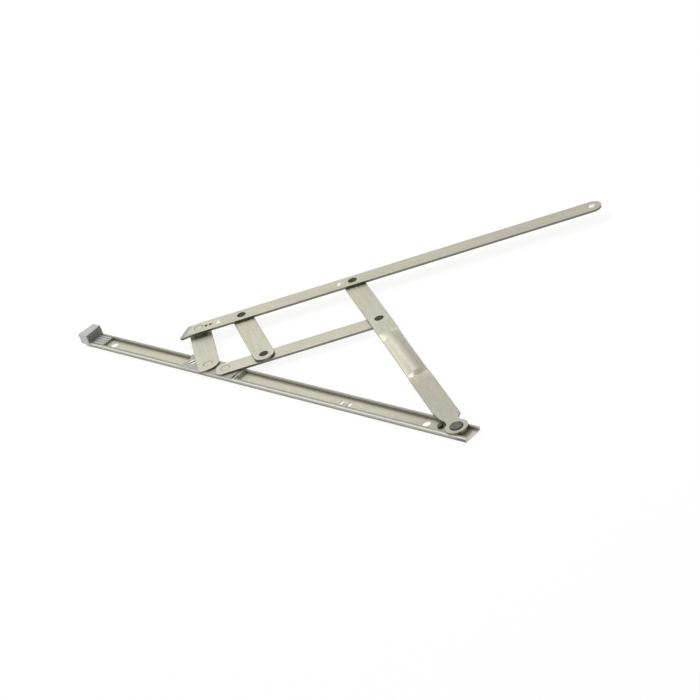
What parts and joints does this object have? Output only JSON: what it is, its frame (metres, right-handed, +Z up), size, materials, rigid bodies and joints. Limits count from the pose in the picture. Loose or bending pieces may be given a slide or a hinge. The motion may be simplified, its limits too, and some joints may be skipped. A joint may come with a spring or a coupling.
{
  "type": "friction stay hinge",
  "caption": "Four-arm friction stay for a top-hung window: riveted steel linkage on a C-shaped track with a sliding shoe and end cap.",
  "frame": {"origin": "on the track's flat back, on the axis of the main pivot", "axes": "+X along the track from the end cap towards the main pivot's end; +Z up out of the track's open side, along every pivot's axis; the arms open towards +Y"},
  "size_m": [0.4711, 0.3193, 0.0121],
  "materials": {
    "stainless_bar": "satin stainless steel, fine lengthwise brushing",
    "stainless_track": "rolled stainless steel with bright bends",
    "rivet_dark": "dark oiled steel rivet head",
    "rivet_bright": "stainless rivet dressed flush",
    "washer": "thin friction washer",
    "moulded_plastic": "light grey moulded nylon",
    "screw_steel": "plated steel screw"
  },
  "bodies": {
    "track": {"track": "stainless_track", "end_cap": "moulded_plastic", "stop_stud": "rivet_bright", "pivot_bush": "rivet_bright"},
    "main_arm": {"main_arm": "stainless_bar", "main_pivot_rivet": "rivet_dark", "link_rivet": "rivet_dark"},
    "link": {"link_bar": "stainless_bar", "link_washer": "washer", "support_foot_washer": "washer"},
    "sash_bar": {"sash_bar": "stainless_bar", "sash_rivet": "rivet_dark", "support_top_rivet": "rivet_dark", "nose_rivet": "rivet_bright", "sash_washer": "washer", "support_top_washer": "washer"},
    "support_arm": {"support_arm": "stainless_bar", "support_foot_rivet": "rivet_dark"},
    "short_arm": {"short_arm": "stainless_bar", "slider_pin": "rivet_bright", "nose_spacer": "rivet_bright"},
    "slider": {"slider_body": "moulded_plastic", "slider_plate": "stainless_track", "friction_pad": "moulded_plastic", "friction_screw": "screw_steel", "slider_rivet": "rivet_bright"}
  },
  "joints": [
    {"name": "main_pivot", "type": "hinge", "parent": "track", "child": "main_arm", "pos_m": [0, 0, 0], "axis": [0, 0, 1], "range_deg": [0, 30.2]},
    {"name": "link_pivot", "type": "hinge", "parent": "main_arm", "child": "link", "pos_m": [-0.17286, 0.1006, 0], "axis": [0, 0, 1], "range_deg": [-77.46, 0]},
    {"name": "sash_pivot", "type": "hinge", "parent": "main_arm", "child": "sash_bar", "pos_m": [-0.24027, 0.13984, 0], "axis": [0, 0, 1], "range_deg": [-77.46, 0]},
    {"name": "support_top_pivot", "type": "hinge", "parent": "sash_bar", "child": "support_arm", "pos_m": [-0.3095, 0.06494, 0], "axis": [0, 0, 1], "range_deg": [0, 77.46]},
    {"name": "slider_pivot", "type": "hinge", "parent": "link", "child": "slider", "pos_m": [-0.26585, 0, 0], "axis": [0, 0, 1], "range_deg": [0, 47.26]},
    {"name": "nose_pivot", "type": "hinge", "parent": "sash_bar", "child": "short_arm", "pos_m": [-0.33627, 0.03599, 0], "axis": [0, 0, 1], "range_deg": [0, 84.17]}
  ],
  "couplings": [
    {"joint": "link_pivot", "follows": "main_pivot", "ratio": -2.5646},
    {"joint": "sash_pivot", "follows": "main_pivot", "ratio": -2.5646},
    {"joint": "support_top_pivot", "follows": "main_pivot", "ratio": 2.5646},
    {"joint": "slider_pivot", "follows": "main_pivot", "ratio": 1.5646},
    {"joint": "nose_pivot", "follows": "main_pivot", "ratio": 2.7867}
  ]
}
